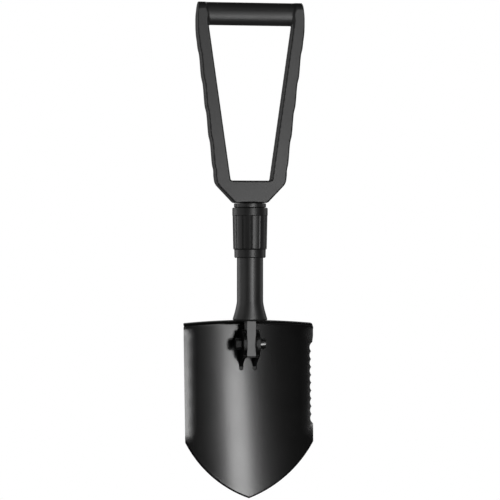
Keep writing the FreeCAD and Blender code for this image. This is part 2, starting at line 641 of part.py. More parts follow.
for item in doc.Objects:
    if "Invalid" in item.State or "Error" in item.State:
        raise RuntimeError(f"{item.Name} failed: {item.State}")
for item in subparts:
    if item.Shape.isNull() or not item.Shape.isValid():
        raise RuntimeError(f"{item.Label} has no valid shape")
    item.Shape.exportStep(f"parts/{item.Label}.step")
    print(f"{item.Label}: {len(item.Shape.Solids)} solid(s), {item.Shape.Volume / 1000:.2f} cm3")
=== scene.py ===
"""Folding camp shovel: its looks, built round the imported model. Lengths in the maker's sections are in
millimetres and become metres where a mesh is made."""
import json
import math
from contextlib import contextmanager
from itertools import product

import bmesh
import bpy
import numpy as np
import openvdb
from mathutils import Matrix, Vector
from mathutils.geometry import delaunay_2d_cdt


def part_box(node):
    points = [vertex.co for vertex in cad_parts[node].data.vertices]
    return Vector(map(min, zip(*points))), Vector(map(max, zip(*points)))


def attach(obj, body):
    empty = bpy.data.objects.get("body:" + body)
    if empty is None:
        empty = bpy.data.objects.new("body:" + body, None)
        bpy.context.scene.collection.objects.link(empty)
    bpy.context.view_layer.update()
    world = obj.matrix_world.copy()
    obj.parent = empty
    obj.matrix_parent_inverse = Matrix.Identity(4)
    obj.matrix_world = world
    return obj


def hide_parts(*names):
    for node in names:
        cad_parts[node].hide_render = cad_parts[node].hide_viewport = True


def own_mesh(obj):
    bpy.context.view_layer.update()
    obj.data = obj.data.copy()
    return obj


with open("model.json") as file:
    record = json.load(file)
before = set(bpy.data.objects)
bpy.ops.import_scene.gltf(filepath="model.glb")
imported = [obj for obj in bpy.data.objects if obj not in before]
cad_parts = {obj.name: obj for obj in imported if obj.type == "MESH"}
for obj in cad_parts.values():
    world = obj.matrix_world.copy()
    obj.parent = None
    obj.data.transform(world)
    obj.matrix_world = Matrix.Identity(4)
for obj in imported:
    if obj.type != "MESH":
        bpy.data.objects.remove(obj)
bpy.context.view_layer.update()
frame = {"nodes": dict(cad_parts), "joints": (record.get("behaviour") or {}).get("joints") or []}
NODES = frame["nodes"]
MM = 0.001


def mm_box(node):
    low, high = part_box(node)
    return Vector(low) / MM, Vector(high) / MM


def joint_named(name):
    return next(joint for joint in frame["joints"] if joint["name"] == name)


def joint_place(name):
    return Vector(joint_named(name)["pos_m"]) / MM


def travel(name):
    """How far a sliding joint goes from rest, in millimetres."""
    return joint_named(name)["range_m"][1] / MM


PIVOT = joint_place("blade_fold")
HINGE = joint_place("handle_fold")


# ---------------------------------------------------------------- shader maths
class Socket:
    """An output socket that Python's operators join with Math nodes."""

    def __init__(self, graph, link):
        self.graph, self.link = graph, link

    def maths(self, operation, first, second):
        return self.graph.node("ShaderNodeMath", {0: first, 1: second}, operation=operation)

    def __add__(self, other):
        return self.maths("ADD", self, other)

    def __radd__(self, other):
        return self.maths("ADD", other, self)

    def __sub__(self, other):
        return self.maths("SUBTRACT", self, other)

    def __mul__(self, other):
        return self.maths("MULTIPLY", self, other)

    def clamped(self):
        return self.maths("MAXIMUM", self.maths("MINIMUM", self, 1.0), 0.0)


class Graph:
    """One node tree."""

    def __init__(self, tree):
        self.tree = tree

    def node(self, kind, inputs=None, output=0, **settings):
        """Adds a node, wires or sets its inputs and gives back one of its outputs."""
        node = self.tree.nodes.new(kind)
        for setting, value in settings.items():
            setattr(node, setting, value)
        for socket, value in (inputs or {}).items():
            if isinstance(value, Socket):
                self.tree.links.new(value.link, node.inputs[socket])
            else:
                node.inputs[socket].default_value = value
        return Socket(self, node.outputs[output]) if node.outputs else None


class Finish(Graph):
    """A Principled material; its fixed values are set on the shader's own sockets."""

    def __init__(self, name, **shader):
        self.material = bpy.data.materials.new(name)
        self.material.use_nodes = True
        super().__init__(self.material.node_tree)
        self.shader = self.tree.nodes["Principled BSDF"]
        for socket, value in shader.items():
            self.shader.inputs[socket.replace("_", " ")].default_value = value
        self.place = self.node("ShaderNodeTexCoord", output="Object")

    def feed(self, socket, value):
        self.tree.links.new(value.link, self.shader.inputs[socket])

    def noise(self, scale, detail, roughness=0.5, stretch=(1, 1, 1)):
        """Soft noise from 0 to 1; scale is in features to the metre."""
        spot = self.node("ShaderNodeMapping", {"Vector": self.place, "Scale": stretch})
        return self.node("ShaderNodeTexNoise", {
            "Vector": spot, "Scale": scale, "Detail": detail, "Roughness": roughness}, "Fac")

    def ramp(self, value, low, high):
        """0 below low, 1 above high."""
        return self.node("ShaderNodeMapRange", {"Value": value, "From Min": low, "From Max": high})

    def tint(self, share, first, second):
        """The colour between first and second; the Mix node's colour sockets are reached by number."""
        return self.node("ShaderNodeMix", {0: share, 6: first, 7: second}, 2, data_type="RGBA")

    def rough_up(self, height, depth, strength):
        """A bump whose full height is depth, in metres."""
        bump = self.node("ShaderNodeBump", {"Height": height, "Distance": depth, "Strength": strength})
        self.feed("Normal", bump)


def grey(tone, warm=0.0):
    """A neutral colour, or one a little towards red and away from blue."""
    return (tone * (1 + warm), tone, tone * (1 - warm), 1)


# ---------------------------------------------------------------- finishes
def moulded_nylon(name, tone, grain_depth):
    """Glass-filled nylon: fine spark-eroded skin, faint cloudy flow and a duller, scuffed bloom."""
    finish = Finish(name, IOR=1.57)
    cloud, flow, grain = finish.noise(28, 3), finish.noise(90, 2, stretch=(1, 1, 0.25)), finish.noise(2600, 1)
    scuff = finish.ramp(finish.noise(190, 5, 0.7, (1, 1, 0.5)), 0.58, 0.74)
    finish.feed("Base Color", finish.tint((cloud * 0.55 + flow * 0.3 + scuff * 0.25).clamped(),
                                         grey(tone * 0.8, -0.02), grey(tone * 1.35, 0.01)))
    finish.feed("Roughness", 0.34 + cloud * 0.08 + grain * 0.05 + scuff * 0.08)
    finish.rough_up(grain + flow * 0.25, grain_depth, 0.55)
    return finish.material


def black_anodising():
    """Drawn tube, bead finished and anodised: fine lengthwise lines under an even satin black."""
    finish = Finish("black_anodising", Metallic=0.75, IOR=1.6)
    lines = finish.noise(1500, 2, stretch=(1, 1, 0.02))
    cloud, grain = finish.noise(40, 3), finish.noise(3200, 1)
    finish.feed("Base Color", finish.tint((lines * 0.5 + cloud * 0.5).clamped(), grey(0.044), grey(0.105)))
    finish.feed("Roughness", 0.33 + lines * 0.1 + cloud * 0.05)
    finish.rough_up(lines * 0.6 + grain * 0.4, 0.00002, 0.5)
    return finish.material


def blade_coat():
    """Black powder coat: a faint orange peel, a little dust dulling and hair scratches down the dish."""
    finish = Finish("blade_coat", IOR=1.41, Coat_Weight=0.1, Coat_Roughness=0.12)
    peel, cloud = finish.noise(520, 2), finish.noise(22, 4, 0.6)
    hair = finish.ramp(finish.noise(900, 2, 0.6, (1, 1, 0.035)), 0.66, 0.78)
    speck = finish.ramp(finish.noise(1500, 2, 0.7), 0.68, 0.8)
    finish.feed("Base Color", finish.tint((cloud * 0.5 + hair * 0.35 + speck * 0.3).clamped(),
                                         grey(0.004), grey(0.012)))
    finish.feed("Roughness", 0.17 + cloud * 0.05 + hair * 0.06 + speck * 0.06)
    finish.rough_up(peel + hair * -0.3, 0.00003, 0.5)
    return finish.material


def hinge_black():
    """Black oxide over stamped steel, rubbed a little brighter in patches."""
    finish = Finish("hinge_black", Metallic=0.35, IOR=1.45)
    cloud, grain = finish.noise(160, 4, 0.65), finish.noise(2400, 2)
    rubbed = finish.ramp(finish.noise(420, 4, 0.7), 0.57, 0.75)
    finish.feed("Base Color", finish.tint((cloud * 0.3 + rubbed * 0.7).clamped(), grey(0.003), grey(0.03)))
    finish.feed("Roughness", 0.36 + cloud * 0.12 - rubbed * 0.08)
    finish.rough_up(grain, 0.00003, 0.5)
    return finish.material


def bolt_black():
    """The bolt's phosphate finish: a matt black skin, mottled and slightly pitted."""
    finish = Finish("bolt_black", Metallic=0.2, IOR=1.45)
    mottle = finish.ramp(finish.noise(420, 3, 0.7), 0.45, 0.68)
    finish.feed("Base Color", finish.tint(mottle, grey(0.004), grey(0.045)))
    finish.feed("Roughness", 0.55 + mottle * -0.15)
    finish.rough_up(mottle, 0.00025, 0.8)
    return finish.material


def blasted_steel():
    """The tang's bead-blasted grey steel."""
    finish = Finish("blasted_steel", Metallic=0.35, IOR=1.8)
    grain, cloud = finish.noise(2100, 2, 0.6), finish.noise(120, 4, 0.6)
    finish.feed("Base Color", finish.tint((grain * 0.5 + cloud * 0.5).clamped(), grey(0.12), grey(0.24)))
    finish.feed("Roughness", 0.5 + grain * 0.16)
    finish.rough_up(grain, 0.00006, 0.6)
    return finish.material


def turned_metal(name, dark, light, roughness, metallic=0.9, warm=0.0):
    """Turned or drawn metal with fine lines and small dull spots."""
    finish = Finish(name, Metallic=metallic, IOR=1.7)
    lines, cloud = finish.noise(2600, 2, 0.6, (0.05, 1, 1)), finish.noise(230, 4, 0.6)
    finish.feed("Base Color", finish.tint((lines * 0.6 + cloud * 0.4).clamped(),
                                         grey(dark, warm), grey(light, warm)))
    finish.feed("Roughness", roughness + cloud * 0.14 + lines * 0.06)
    finish.rough_up(lines, 0.00001, 0.5)
    return finish.material


def natural_acetal():
    """Uncoloured bearing plastic, faintly see-through."""
    finish = Finish("natural_acetal", IOR=1.48, Subsurface_Weight=0.1)
    cloud = finish.noise(120, 3)
    finish.feed("Base Color", finish.tint(cloud, (0.62, 0.6, 0.53, 1), (0.72, 0.7, 0.63, 1)))
    finish.feed("Roughness", 0.4 + cloud * 0.15)
    finish.rough_up(finish.noise(2000, 1), 0.00002, 0.4)
    return finish.material


HANDLE_NYLON = moulded_nylon("handle_nylon", 0.026, 0.00006)
COLLAR_NYLON = moulded_nylon("collar_nylon", 0.017, 0.00004)
ANODISED = black_anodising()
BLADE_COAT = blade_coat()
HINGE_BLACK = hinge_black()
TANG_STEEL = blasted_steel()
BUTTON_STEEL = turned_metal("button_steel", 0.05, 0.12, 0.17)
WASHER_STEEL = turned_metal("washer_steel", 0.006, 0.02, 0.35, 0.5)
BOLT_BLACK = bolt_black()
PIN_STEEL = turned_metal("pin_steel", 0.22, 0.36, 0.3)
SPRING_STEEL = turned_metal("spring_steel", 0.3, 0.45, 0.28)
BRONZE = turned_metal("bush_bronze", 0.3, 0.45, 0.38, warm=0.3)
ACETAL = natural_acetal()

CAD_FINISHES = {
    "shaft_tube": ANODISED, "handle_lug": ANODISED, "neck_ring": ANODISED, "lower_ferrule": ANODISED,
    "blade_tang": TANG_STEEL, "tang_pin": PIN_STEEL, "lug_pin": PIN_STEEL, "collar_guide_pin": PIN_STEEL,
    "handle_hinge_pin": PIN_STEEL, "pin_clips": SPRING_STEEL, "spring_seat_ring": SPRING_STEEL,
    "collar_spring": SPRING_STEEL, "button_spring": SPRING_STEEL, "hinge_bushes": BRONZE,
    "lock_tongue": PIN_STEEL, "lock_collar": COLLAR_NYLON, "collar_liner": ACETAL,
    "blade_plate": BLADE_COAT, "hinge_bracket": HINGE_BLACK, "pivot_bolt": BOLT_BLACK,
    "left_thrust_washer": WASHER_STEEL, "right_thrust_washer": WASHER_STEEL, "push_button": BUTTON_STEEL,
    "lock_gear": BUTTON_STEEL, "d_handle": HANDLE_NYLON,
}
for node_name, finish_material in CAD_FINISHES.items():
    cad_mesh = NODES[node_name].data
    cad_mesh.materials.clear()
    cad_mesh.materials.append(finish_material)


# ---------------------------------------------------------------- mesh helpers
SAME_POINT, SAME_CAD_POINT = 0.01 * MM, 0.002 * MM


def added(name, data):
    """A new object in the scene, at the origin."""
    thing = bpy.data.objects.new(name, data)
    bpy.context.scene.collection.objects.link(thing)
    return thing


def piece_from(name, points, faces, material):
    """A mesh object at the origin, from points in millimetres."""
    mesh = bpy.data.meshes.new(name)
    mesh.from_pydata([tuple(Vector(point) * MM) for point in points], [], faces)
    mesh.materials.append(material)
    return added(name, mesh)


@contextmanager
def edited(mesh):
    """The mesh opened for editing, and written back at the end."""
    shape = bmesh.new()
    shape.from_mesh(mesh)
    yield shape
    shape.to_mesh(mesh)
    shape.free()


def outward(piece):
    """Merges doubled points and turns every face to the outside."""
    with edited(piece.data) as shape:
        bmesh.ops.remove_doubles(shape, verts=shape.verts, dist=SAME_POINT)
        bmesh.ops.recalc_face_normals(shape, faces=shape.faces)
    return piece


def made_plain(piece):
    """Applies the piece's modifiers by taking its evaluated mesh."""
    bpy.context.view_layer.update()
    depsgraph = bpy.context.evaluated_depsgraph_get()
    mesh = bpy.data.meshes.new_from_object(piece.evaluated_get(depsgraph), depsgraph=depsgraph)
    piece.modifiers.clear()
    piece.data = mesh
    return piece


def eased(piece, width, angle=35):
    """Rounds the edges sharper than angle by width millimetres and shades the rest smooth."""
    bevel = piece.modifiers.new("ease", "BEVEL")
    bevel.width, bevel.segments = width * MM, 2
    bevel.limit_method, bevel.angle_limit = "ANGLE", math.radians(angle)
    made_plain(piece)
    return smooth(piece, 40)


def smooth(piece, angle):
    """Shades smooth across edges flatter than angle, so that flat faces stay flat."""
    piece.data.polygons.foreach_set("use_smooth", [True] * len(piece.data.polygons))
    piece.data.set_sharp_from_angle(angle=math.radians(angle))
    weighted = piece.modifiers.new("even_light", "WEIGHTED_NORMAL")
    weighted.keep_sharp, weighted.weight = True, 100
    return made_plain(piece)


def softened(node, width):
    """A copy of a CAD node with its triangles merged and its edges eased."""
    piece = added(f"{node}_eased", NODES[node].data.copy())
    with edited(piece.data) as shape:
        bmesh.ops.remove_doubles(shape, verts=shape.verts, dist=SAME_CAD_POINT)
        bmesh.ops.dissolve_limit(shape, angle_limit=math.radians(1.0), verts=shape.verts, edges=shape.edges)
    return eased(piece, width)


def stands_for(piece, body, slot, *nodes):
    """Puts a finished piece on its body, in the place of CAD nodes."""
    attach(piece, body)
    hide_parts(*nodes)


def oval(across, deep, height, steps):
    """A level ring of points round the Z axis."""
    turns = [2 * math.pi * step / steps for step in range(steps)]
    return [(across * math.cos(turn), deep * math.sin(turn), height) for turn in turns]


def bands(count, rings, steps):
    """The faces of the first count bands between rings of points; the last ring joins the first one."""
    return [(ring * steps + step, ring * steps + (step + 1) % steps,
             (ring + 1) % rings * steps + (step + 1) % steps, (ring + 1) % rings * steps + step)
            for ring in range(count) for step in range(steps)]


def turned(name, profile, material, steps, radius_at):
    """A closed turning of (radius, height) points; radius_at changes the radius round the turn."""
    points = []
    for radius, height in profile:
        for step in range(steps):
            angle = 2 * math.pi * step / steps
            reach = radius_at(radius, height, angle)
            points.append((reach * math.cos(angle), reach * math.sin(angle), height))
    return outward(piece_from(name, points, bands(len(profile), len(profile), steps), material))


def inside(point, loop):
    """Whether a flat point is inside a closed loop."""
    across, up = point
    crossed = False
    for (x1, y1), (x2, y2) in zip(loop, loop[1:] + loop[:1]):
        if (y1 > up) != (y2 > up) and across < (x2 - x1) * (up - y1) / (y2 - y1) + x1:
            crossed = not crossed
    return crossed


def plate(name, loops, material, near, far, extra=(), creases=()):
    """A plate with the first loop as its rim and the others as holes. near and far map a flat point to
    the two faces; extra points and crease lines go into both faces."""
    flat, links = [], []
    for loop in loops:
        start = len(flat)
        flat += loop
        links += [(start + index, start + (index + 1) % len(loop)) for index in range(len(loop))]
    for crease in creases:
        start = len(flat)
        flat += crease
        links += [(start + index, start + index + 1) for index in range(len(crease) - 1)]
    flat += list(extra)
    spots, _, triangles, *_ = delaunay_2d_cdt([Vector(point) for point in flat], links, [], 0, 1e-4)

    def kept(triangle):
        middle = sum((spots[corner] for corner in triangle), Vector((0, 0))) / 3
        return inside(middle, loops[0]) and not any(inside(middle, hole) for hole in loops[1:])

    triangles = [tuple(triangle) for triangle in triangles if kept(triangle)]
    count = len(spots)
    faces = triangles + [tuple(count + corner for corner in reversed(triangle)) for triangle in triangles]
    sides = [pair for triangle in triangles for pair in zip(triangle, triangle[1:] + triangle[:1])]
    shared = set(sides)
    faces += [(second, first, count + first, count + second)
              for first, second in sides if (second, first) not in shared]
    points = [near(*spot) for spot in spots] + [far(*spot) for spot in spots]
    piece = piece_from(name, points, faces, material)
    with edited(piece.data) as shape:
        loose = [vertex for vertex in shape.verts if not vertex.link_faces]
        bmesh.ops.delete(shape, geom=loose, context="VERTS")
        bmesh.ops.recalc_face_normals(shape, faces=shape.faces)
    return piece


# ---------------------------------------------------------------- D handle
_, handle_high = mm_box("d_handle")
GRIP_RADIUS, GRIP_HALF_DEPTH = 14, 10
GRIP_HEIGHT = handle_high.z - GRIP_RADIUS
ARM_HALF_DEPTH, ARM_EDGE, ARM_TOP_ROUND, GRIP_FILLET = 11, 1.6, 10.5, 3.0
HANDLE_SIDE = [(20.3, 93.9), (42.6, 117.3), (handle_high.x, 309.3), (64, handle_high.z)]
OPENING_SIDE = [(25.0, 121.0), (51.8, 309.3)]
OUTLINE_EDGE, SHOULDER_ROUND, FOOT_ROUND, HEAD_ROUND, OPENING_ROUND = 1.8, 2.5, 1.5, 3, 2.0
CHEEK_EYE, CHEEK_INNER, CHEEK_OUTER, CHEEK_EDGE, CHEEK_FILLET = 8, 7.4, 15, 0.8, 1.5
CHEEK_ROOT, CHEEK_RISE, BUSH_RADIUS, BUSH_EDGE = 9.0, 2, 4.5, 0.5
FINGER_PITCH, FINGER_TOP, FINGER_COUNT, FINGER_DEPTH = 35.4, 283, 5, 0.85
FINGER_CREST, FINGER_FADE = 0.72, 8


def rounded_meet(first, second, radius):
    """The distance inside both shapes, with the edge between them rounded."""
    out_first, out_second = np.maximum(first + radius, 0), np.maximum(second + radius, 0)
    return np.minimum(np.maximum(first, second), -radius) + np.hypot(out_first, out_second)


def rounded_join(first, second, radius):
    """The distance to either shape, with a fillet where they meet."""
    return -rounded_meet(-first, -second, radius)


def beyond(across, up, start, end):
    """The distance to the right of the line from start up to end."""
    run, rise = end[0] - start[0], end[1] - start[1]
    return ((across - start[0]) * rise - (up - start[1]) * run) / math.hypot(run, rise)


def finger_ridges(up):
    """From 0 to 1 up the arm's outer wall: a quick step out at each finger, then a slow return."""
    share = ((up - FINGER_TOP) / FINGER_PITCH) % 1.0
    wave = np.where(share > FINGER_CREST, (1 - share) / (1 - FINGER_CREST), share / FINGER_CREST)
    wave = 0.5 + 0.5 * np.cos(np.pi * wave)
    lowest, highest = FINGER_TOP - FINGER_PITCH * (FINGER_COUNT - 0.6), FINGER_TOP + 12
    fade = np.clip((up - lowest) / FINGER_FADE, 0, 1) * np.clip((highest - up) / FINGER_FADE, 0, 1)
    return 1 - fade * (1 - wave)


def handle_distance(x, y, z):
    """How far a point is outside the moulding, in millimetres."""
    across = np.abs(x)
    web_foot, web_shoulder, arm_head, arm_end = HANDLE_SIDE
    side = beyond(across, z, web_shoulder, arm_head) + FINGER_DEPTH * (1 - finger_ridges(z))
    outline = rounded_meet(beyond(across, z, web_foot, web_shoulder), side, SHOULDER_ROUND)
    outline = rounded_meet(outline, web_foot[1] - z, FOOT_ROUND)
    outline = rounded_meet(outline, beyond(across, z, arm_head, arm_end), HEAD_ROUND)
    opening = rounded_meet(beyond(across, z, *OPENING_SIDE), OPENING_SIDE[0][1] - z, OPENING_ROUND)
    arms = rounded_meet(-opening, np.abs(y) - ARM_HALF_DEPTH, ARM_EDGE)
    depth_share = GRIP_HALF_DEPTH / GRIP_RADIUS
    swell = np.hypot(y / depth_share, z - GRIP_HEIGHT)
    slimness = depth_share + (1 - depth_share) * np.abs(z - GRIP_HEIGHT) / np.maximum(swell, 1)
    grip = (swell - GRIP_RADIUS) * slimness
    top = rounded_meet(z - handle_high.z, np.abs(y) - ARM_HALF_DEPTH, ARM_TOP_ROUND)
    body = rounded_join(np.maximum(arms, top), grip, GRIP_FILLET)
    body = rounded_meet(body, outline, OUTLINE_EDGE)
    return with_cheeks(body, across, y, z)


def with_cheeks(body, across, y, z):
    """Adds the two cheeks behind the web that carry the hinge, and bores them."""
    run_y, run_z = CHEEK_ROOT - HINGE.y, CHEEK_RISE
    along = np.clip(((y - HINGE.y) * run_y + (z - HINGE.z) * run_z) / (run_y**2 + run_z**2), 0, 1)
    arm = np.hypot(y - HINGE.y - along * run_y, z - HINGE.z - along * run_z) - CHEEK_EYE
    walls = np.maximum(CHEEK_INNER - across, across - CHEEK_OUTER)
    body = rounded_join(body, rounded_meet(arm, walls, CHEEK_EDGE), CHEEK_FILLET)
    hole = BUSH_RADIUS - np.hypot(y - HINGE.y, z - HINGE.z)
    return rounded_meet(body, hole, BUSH_EDGE)


def moulded(name, distance, low, high, cell, material):
    """The skin of a distance rule: gridded, then each point slid onto the surface itself."""
    band, slides, nudge = 3 * cell, 4, 0.02
    spans = [np.arange(low[axis] - band, high[axis] + band, cell) for axis in range(3)]
    grid = openvdb.FloatGrid()
    grid.background = band
    grid.copyFromArray(distance(*np.meshgrid(*spans, indexing="ij")).clip(-band, band).astype(np.float32))
    points, quads = grid.convertToQuads()
    points = points.astype(float) * cell + np.array([span[0] for span in spans])
    for _ in range(slides):
        value = distance(*points.T)
        slope = np.stack([(distance(*(points + step).T) - distance(*(points - step).T)) / (2 * nudge)
                          for step in np.eye(3) * nudge], axis=1)
        steep = np.maximum((slope**2).sum(axis=1), 0.25)
        points -= (value / steep)[:, None] * slope
    points = np.clip(points, low, high)
    return outward(piece_from(name, points, [tuple(map(int, quad)) for quad in quads], material))


def d_handle():
    """Web, arms, flattened grip bar and hinge cheeks in one moulding."""
    low = (-handle_high.x, -ARM_HALF_DEPTH, HANDLE_SIDE[0][1] - 3)
    high = (handle_high.x, HINGE.y + CHEEK_EYE, handle_high.z)
    piece = moulded("d_handle_moulding", handle_distance, low, high, 1.15, HANDLE_NYLON)
    smooth(piece, 60)
    stands_for(piece, "handle", "handle_nylon", "d_handle")


# ---------------------------------------------------------------- lock collar
collar_low, collar_high = mm_box("lock_collar")
LINER_RADIUS, COLLAR_BORE, LIP_BORE, LIP_LEDGE, LINER_LENGTH = 17.2, 18.6, 16.3, 76, 10
FLUTES, FLUTE_DEPTH, FLUTE_STEPS, FLUTE_END = 12, 1.25, 20, 0.5
FLUTE_TURN = math.radians(23)
FLUTE_FOOT, FLUTE_HEAD = collar_low.z + 11, collar_high.z - 9.6
FLUTE_FOOT_RADIUS, FLUTE_FLARE = 20.4, 0.8
GROOVE_END, GROOVE_SIDE, GROOVE_FACE = 0.1, 0.2, 0.4


def flute(radius, height, angle):
    """Saw-tooth flutes: a narrow groove, then a face that rises slowly to the next one."""
    if radius < COLLAR_BORE + 1 or not FLUTE_FOOT <= height <= FLUTE_HEAD:
        return radius
    share = ((angle - FLUTE_TURN) * FLUTES / (2 * math.pi)) % 1.0
    if share < GROOVE_END:
        drop = 1.0
    elif share < GROOVE_SIDE:
        drop = 1 - (share - GROOVE_END) / (GROOVE_SIDE - GROOVE_END) * (1 - GROOVE_FACE)
    else:
        drop = GROOVE_FACE * (1 - (share - GROOVE_SIDE) / (1 - GROOVE_SIDE))
    edge = min((height - FLUTE_FOOT) / FLUTE_END, (FLUTE_HEAD - height) / FLUTE_END, 1)
    return radius - FLUTE_DEPTH * drop * max(edge, 0)


def lock_collar():
    """The sleeve's section from the foot up its outside, over the rolled top and down the stepped bore."""
    foot, top = collar_low.z, collar_high.z
    fluted = [(FLUTE_FOOT_RADIUS + FLUTE_FLARE * share, FLUTE_FOOT + (FLUTE_HEAD - FLUTE_FOOT) * share)
              for share in (0, 0.012, 0.25, 0.5, 0.75, 0.988, 1)]
    profile = [(LINER_RADIUS, foot), (18.1, foot), (18.4, foot + 0.1), (18.9, foot + 0.9), (19, foot + 1.3),
               (19.1, foot + 9.4), (19.3, foot + 9.9), (20.1, foot + 10.7)] + fluted + [
        (21.4, top - 9.3), (21.5, top - 9), (21.5, top - 1.3), (21.35, top - 0.6), (20.9, top - 0.15),
        (20.3, top), (LIP_BORE + 0.3, top), (LIP_BORE, top - 0.3), (LIP_BORE, LIP_LEDGE),
        (COLLAR_BORE, LIP_LEDGE), (COLLAR_BORE, foot + LINER_LENGTH),
        (LINER_RADIUS, foot + LINER_LENGTH)]
    piece = turned("lock_collar_sleeve", profile, COLLAR_NYLON, FLUTES * FLUTE_STEPS, flute)
    smooth(piece, 28)
    stands_for(piece, "collar", "collar_nylon", "lock_collar")


# ---------------------------------------------------------------- shaft
ring_low, ring_high = mm_box("neck_ring")
ferrule_low, ferrule_high = mm_box("lower_ferrule")
TUBE_RADIUS, TUBE_FOOT, TANG_HALF, TANG_FRONT, TANG_BACK = 15.95, -41, 5.4, -12.1, 9.1
RING_BORE, RING_EDGE, RING_STEPS, RING_NOTCH, RING_NOTCH_HALF = 12.9, 0.7, 180, 0.8, 0.05
RING_NOTCHES = [math.radians(turn) for turn in (-68, 22, 158, -158)]
LUG_GAP_HALF, LUG_GAP_FRONT, LUG_GAP_INNER = 7.6, 9.6, 13.5
FERRULE_STEPS, FERRULE_RINGS, FERRULE_FLARE, FERRULE_LIP_ROUND = 128, 26, 1.35, 3.0
FERRULE_LIP, FERRULE_TRIM_WIDTH, FERRULE_TRIM_DEPTH = 0.04, 0.7, 0.5


def apart(angle, other):
    """The angle between two directions, either way round."""
    return abs((angle - other + math.pi) % (2 * math.pi) - math.pi)


def neck_ring():
    """The stop ring under the handle, with a small rolled edge and a gap behind for the lug."""
    radius = ring_high.x
    lug_gap = math.asin(LUG_GAP_HALF / radius)

    def rim(reach, _height, angle):
        if reach < radius - 2:
            return reach
        if apart(angle, math.pi / 2) < lug_gap:
            return min(reach, LUG_GAP_FRONT / max(math.sin(angle), 0.3)) if reach > LUG_GAP_INNER else reach
        notched = min(apart(angle, notch) for notch in RING_NOTCHES) < RING_NOTCH_HALF
        return reach - (RING_NOTCH if notched else 0)

    low, high = ring_low.z, ring_high.z
    profile = [(RING_BORE, low), (radius - RING_EDGE, low), (radius - 0.2, low + 0.2),
               (radius, low + RING_EDGE), (radius, high - RING_EDGE),
               (radius - 0.2, high - 0.2), (radius - RING_EDGE, high), (RING_BORE, high)]
    piece = turned("neck_ring_turned", profile, ANODISED, RING_STEPS, rim)
    smooth(piece, 35)
    stands_for(piece, "shaft", "shaft_anodised", "neck_ring")


def boxed(name, low, high):
    """A plain block from low to high, in millimetres."""
    corners = [[side[axis] for axis, side in enumerate(pick)] for pick in product((low, high), repeat=3)]
    faces = [(0, 1, 3, 2), (4, 6, 7, 5), (0, 4, 5, 1), (2, 3, 7, 6), (0, 2, 6, 4), (1, 5, 7, 3)]
    return outward(piece_from(name, corners, faces, ANODISED))


def lower_ferrule():
    """The tube's flared foot, round above and oval below, with the socket and tang way inside."""
    rise, lip, steps = ferrule_high.z - ferrule_low.z, TUBE_RADIUS + FERRULE_LIP, FERRULE_STEPS
    half_width, half_depth = ferrule_high.x - FERRULE_TRIM_WIDTH, ferrule_high.y - FERRULE_TRIM_DEPTH
    points = []
    for ring in range(FERRULE_RINGS):
        share = (ring / (FERRULE_RINGS - 1)) ** 1.4
        swell = (1 - share) ** FERRULE_FLARE
        tuck = FERRULE_LIP_ROUND * max(1 - share * rise / FERRULE_LIP_ROUND, 0) ** 2
        points += oval(lip + (half_width - lip) * swell - tuck, lip + (half_depth - lip) * swell - tuck,
                       ferrule_low.z + rise * share, steps)
    for height in (ferrule_high.z, TUBE_FOOT):
        points += oval(TUBE_RADIUS, TUBE_RADIUS, height, steps)
    rings = FERRULE_RINGS + 2
    faces = bands(rings - 1, rings, steps)
    faces += [tuple(range((rings - 1) * steps, rings * steps)), tuple(reversed(range(steps)))]
    piece = outward(piece_from("lower_ferrule_bell", points, faces, ANODISED))
    way = boxed("tang_way", (-TANG_HALF, TANG_FRONT, ferrule_low.z - 2),
                (TANG_HALF, TANG_BACK, TUBE_FOOT + 2))
    cut = piece.modifiers.new("way", "BOOLEAN")
    cut.object, cut.operation, cut.solver = way, "DIFFERENCE", "EXACT"
    made_plain(piece)
    bpy.data.objects.remove(way)
    smooth(piece, 40)
    stands_for(piece, "shaft", "shaft_anodised", "lower_ferrule")


# ---------------------------------------------------------------- blade
BLADE_TILT, BLADE_OFFSET, DISH_RADIUS, SHEET = 3.2, 20.6, 348, 2.4
HALF_TOP, HALF_LOW, CORNER, CROWN, SHOULDER, TIP, POINT_ARC = 79.9, 78.8, 25, 29, -119, -187.6, 145
BEND, BEND_TURN, STEP_DEPTH = 4.8, math.radians(82), 11.7
BEVEL_WIDTH, BEVEL_DROP, BEVEL_TOP, RIM_WIDTH, RIM_DROP = 8.5, 1.35, 17.7, 2.0, 1.7
BEVEL_START, BEVEL_RUN_OUT = BEVEL_TOP + 1.5, 6
TOOTH_ROUND, TOOTH_INSET, TOOTH_PITCH, TOOTH_FIRST, TOOTH_COUNT, TOOTH_STEPS = 7.6, 3.4, 9.6, -4.4, 10, 8
SLOT_INNER, SLOT_OUTER, SLOT_FOOT, SLOT_HEAD, SLOT_STEPS = 5.6, 11.1, -32, 18, 10
POINT_STEPS, FLANGE_STEPS, FLANGE_INSET, FLANGE_ROUND, FLANGE_ROUND_STEPS = 30, 38, 0.8, 3, 5


def half_width(up):
    """The blade tapers a little from the corners to the shoulders."""
    return HALF_LOW + (HALF_TOP - HALF_LOW) * (up - SHOULDER) / (CORNER - SHOULDER)


def crown_height(across):
    """The top edge's gentle arc."""
    reach = HALF_TOP**2 / (2 * (CROWN - CORNER))
    return CROWN - across**2 / (2 * reach)


def point_centre():
    """The middle of the arc that runs from the right shoulder to the tip."""
    start, end = Vector((HALF_LOW, SHOULDER)), Vector((0, TIP))
    chord = end - start
    inwards = Vector((chord.y, -chord.x)).normalized()
    return (start + end) / 2 + inwards * math.sqrt(POINT_ARC**2 - (chord.length / 2) ** 2)


POINT_CENTRE = point_centre()


